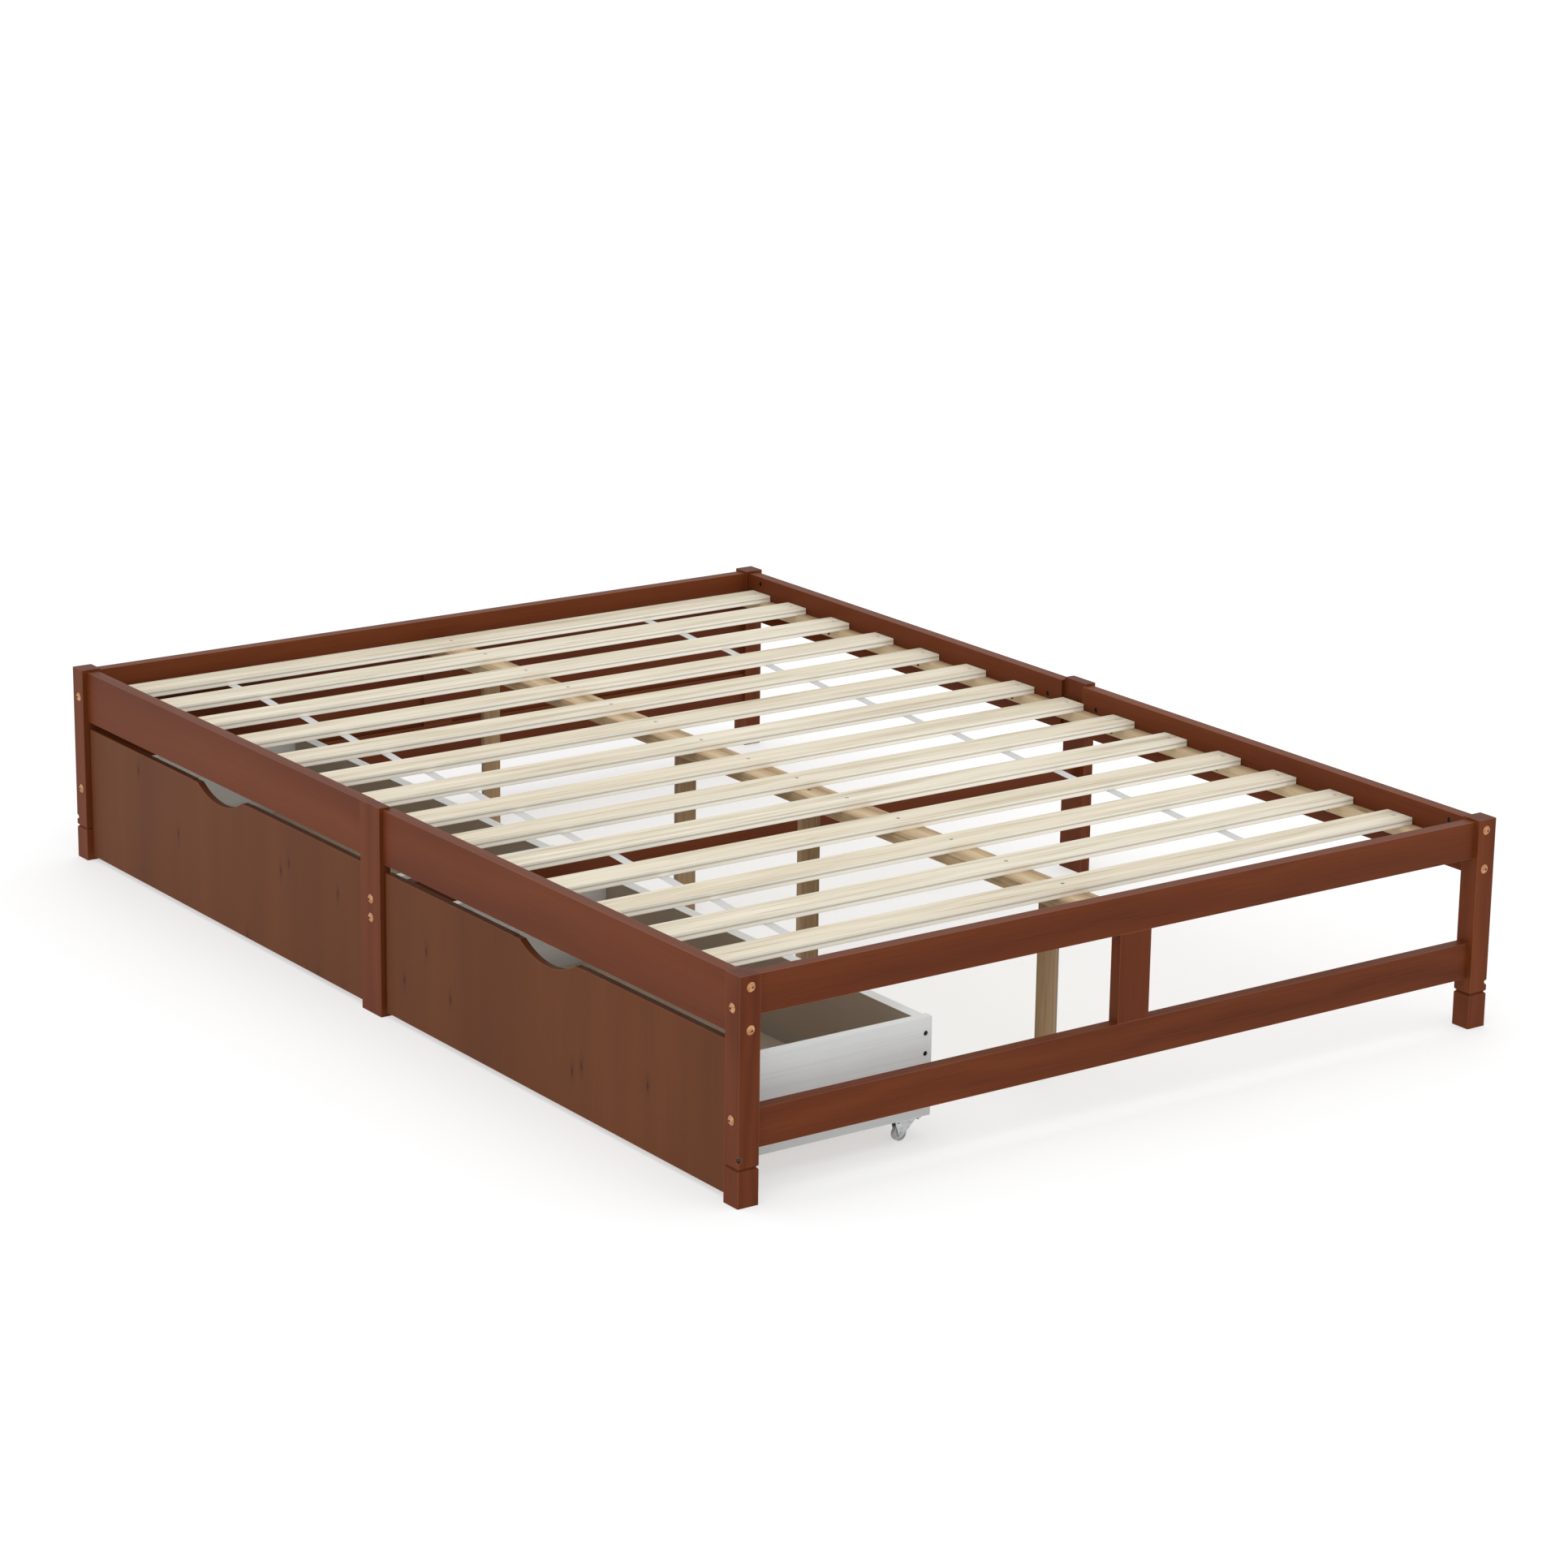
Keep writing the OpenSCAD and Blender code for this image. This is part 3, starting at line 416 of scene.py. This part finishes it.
def make_tapes(material):
    """Two tapes with a rounded section, in place of the flat packed ones."""
    low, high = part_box("slat_tapes")
    profile = tape_profile(slat_edges(), high.z - 0.05 * MM)
    tapes = bmesh.new()
    crown = ((-1.0, -0.45), (-0.92, -0.05), (0.0, 0.0), (0.92, -0.05), (1.0, -0.45),
             (0.92, -0.9), (0.0, -1.0), (-0.92, -0.9))
    for middle in (low.x + TAPE_WIDTH / 2, high.x - TAPE_WIDTH / 2):
        rings = []
        for y, z in profile:
            rings.append([tapes.verts.new((middle + across * TAPE_WIDTH / 2, y, z + depth * TAPE_THICKNESS))
                          for across, depth in crown])
        for one, two in zip(rings, rings[1:]):
            for i in range(len(crown)):
                j = (i + 1) % len(crown)
                tapes.faces.new((one[i], one[j], two[j], two[i]))
        tapes.faces.new(list(reversed(rings[0])))
        tapes.faces.new(rings[-1])
    bmesh.ops.recalc_face_normals(tapes, faces=tapes.faces)
    piece = new_piece("webbing_tapes", tapes, material, "bed_frame")
    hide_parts("slat_tapes")


def make_staples(material):
    """A staple holds each tape to each slat's underside."""
    low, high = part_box("slat_tapes")
    staples = bmesh.new()
    for middle in (low.x + TAPE_WIDTH / 2, high.x - TAPE_WIDTH / 2):
        for start, finish in slat_edges():
            place = Vector((middle, (start + finish) / 2, low.z - STAPLE_WIRE / 2 - 0.02 * MM))
            made = bmesh.ops.create_cube(staples, size=1.0)
            size = Matrix.Diagonal((STAPLE_CROWN, STAPLE_WIRE, STAPLE_WIRE, 1.0))
            shape = Matrix.Translation(place) @ size
            bmesh.ops.transform(staples, matrix=shape, verts=made["verts"])
    bmesh.ops.bevel(staples, geom=staples.edges[:], offset=0.2 * MM, segments=2, affect="EDGES")
    new_piece("tape_staples", staples, material, "bed_frame")


# ---- Studio ----

def make_camera():
    azimuth = math.radians(CAMERA_AZIMUTH)
    elevation = math.radians(CAMERA_ELEVATION)
    roll = math.radians(CAMERA_ROLL)
    forward = Vector((math.sin(azimuth) * math.cos(elevation), math.cos(azimuth) * math.cos(elevation),
                      -math.sin(elevation)))
    level = Vector((math.cos(azimuth), -math.sin(azimuth), 0))
    upright = level.cross(forward)
    right = math.cos(roll) * level + math.sin(roll) * upright
    up = math.cos(roll) * upright - math.sin(roll) * level
    data = bpy.data.cameras.new("camera")
    data.lens = CAMERA_LENS
    data.sensor_width = 36
    camera = bpy.data.objects.new("camera", data)
    turn = Matrix((right, up, -forward)).transposed().to_4x4()
    camera.matrix_world = Matrix.Translation(CAMERA_PLACE) @ turn
    bpy.context.scene.collection.objects.link(camera)
    bpy.context.scene.camera = camera


def make_softbox(name, place, aim, size, power):
    data = bpy.data.lights.new(name, "AREA")
    data.shape = "SQUARE"
    data.size = size
    data.energy = power
    light = bpy.data.objects.new(name, data)
    light.location = place
    light.rotation_euler = (Vector(aim) - Vector(place)).to_track_quat("-Z", "Y").to_euler()
    bpy.context.scene.collection.objects.link(light)


def make_studio():
    world = bpy.data.worlds.new("studio")
    world.use_nodes = True
    background = world.node_tree.nodes["Background"]
    background.inputs["Color"].default_value = (1, 1, 1, 1)
    background.inputs["Strength"].default_value = 1.02
    bpy.context.scene.world = world
    bpy.context.scene.view_settings.view_transform = "Standard"
    make_softbox("overhead_softbox", (-0.6, -0.8, 4.2), (0, 0, 0.2), 4.5, 26)
    make_softbox("left_softbox", (-4.2, -1.6, 2.4), (0, 0, 0.2), 2.5, 10)
    floor = bmesh.new()
    bmesh.ops.create_grid(floor, x_segments=1, y_segments=1, size=30)
    mesh = bpy.data.meshes.new("floor")
    floor.to_mesh(mesh)
    floor.free()
    mesh.materials.append(studio_floor("studio_floor"))
    stage = bpy.data.objects.new("floor", mesh)
    bpy.context.scene.collection.objects.link(stage)


# ---- The bed ----

STAIN_DARK = srgb(76, 32, 14)
STAIN_MIDDLE = srgb(103, 50, 24)
STAIN_LIGHT = srgb(122, 66, 34)
FRONT_DARK = srgb(80, 40, 16)
FRONT_MIDDLE = srgb(102, 56, 25)
FRONT_LIGHT = srgb(116, 68, 32)
TAUPE = srgb(170, 155, 136)
# colour of the painted shade along the foot of the white drawer boards
PAINTED_FOOT_SHADE_GREY = srgb(150, 150, 148)
PINE_DARK = srgb(128, 102, 72)
PINE_MIDDLE = srgb(184, 160, 126)
PINE_LIGHT = srgb(214, 196, 164)
LEG_DARK = srgb(96, 74, 50)
LEG_MIDDLE = srgb(146, 119, 88)
LEG_LIGHT = srgb(174, 149, 116)


def dress_frame():
    stains = {grain: stained_wood("walnut_stain_" + grain.lower(), grain,
                                  STAIN_DARK, STAIN_MIDDLE, STAIN_LIGHT)
              for grain in "XYZ"}
    pine = raw_wood("raw_pine", "Y", PINE_DARK, PINE_MIDDLE, PINE_LIGHT)
    leg_pine = raw_wood("raw_pine_legs", "Z", LEG_DARK, LEG_MIDDLE, LEG_LIGHT)
    rail_ease = 1.6 * MM
    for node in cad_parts:
        if node.startswith(("corner_post", "foot_block")):
            dress(node, stains["Z"], 1.0 * MM)
        elif node.startswith("mid_post") or node.endswith("_stile"):
            dress(node, stains["Z"], rail_ease)
        elif node.startswith("side_rail"):
            dress(node, stains["Y"], rail_ease)
        elif node.endswith(("upper_rail", "lower_rail")) or node == "cross_rail":
            dress(node, stains["X"], rail_ease)
        elif node.startswith("head_panel"):
            dress(node, stains["X"])
        elif node.startswith("ledger") or node == "centre_beam":
            dress(node, pine, 1.0 * MM)
        elif node.startswith("centre_leg"):
            dress(node, leg_pine, 1.0 * MM)


def dress_fixings():
    brass = plated_metal("brass_plate", srgb(206, 156, 114), srgb(160, 112, 76), 0.22)
    steel = plated_metal("dark_steel", srgb(74, 68, 62), srgb(46, 42, 38), 0.42)
    zinc = plated_metal("zinc_plate", srgb(206, 208, 210), srgb(168, 171, 174), 0.30)
    beech = raw_wood("beech", "X", srgb(176, 146, 104), srgb(200, 172, 132), srgb(216, 192, 156), 0.2, 0.0)
    dress("slats", laminated_slat("pale_slat"), 0.9 * MM, 2)
    dress("frame_bolts", brass)
    dress("barrel_nuts", steel)
    dress("frame_dowels", beech)
    dress("wood_screws", steel)
    make_tapes(webbing_cloth("webbing"))
    make_staples(steel)
    return zinc, steel


def dress_drawers(zinc, steel):
    front = stained_wood("walnut_front", "Z", FRONT_DARK, FRONT_MIDDLE, FRONT_LIGHT, 0.12, 0.45, 0.045)
    white, soiled = srgb(232, 235, 235), srgb(222, 224, 222)
    backs = foil_board("white_board_back", white, soiled, 0.05, (0, -1, TAUPE), PAINTED_FOOT_SHADE_GREY)
    sides = foil_board("white_board_side", white, soiled, 0.05, painted_foot_shade=PAINTED_FOOT_SHADE_GREY)
    taupe = foil_board("taupe_board", TAUPE, srgb(156, 140, 120), 0.16)
    wheel = moulded_plastic("grey_plastic", srgb(176, 178, 178), srgb(132, 133, 132))
    for drawer in DRAWERS:
        dress(drawer + "_front", front, 1.4 * MM)
        for part in ("side_near", "side_far"):
            dress(f"{drawer}_{part}", sides, 0.8 * MM, 2)
        dress(drawer + "_back", backs, 0.8 * MM, 2)
        dress(drawer + "_bottom", taupe)
        dress(drawer + "_caster_brackets", zinc, 0.4 * MM, 2)
        dress(drawer + "_caster_axles", zinc)
        dress(drawer + "_fixings", steel)
        for number in (1, 2, 3, 4):
            dress(f"{drawer}_wheel_{number}", wheel)


make_camera()
make_studio()
dress_frame()
dress_drawers(*dress_fixings())
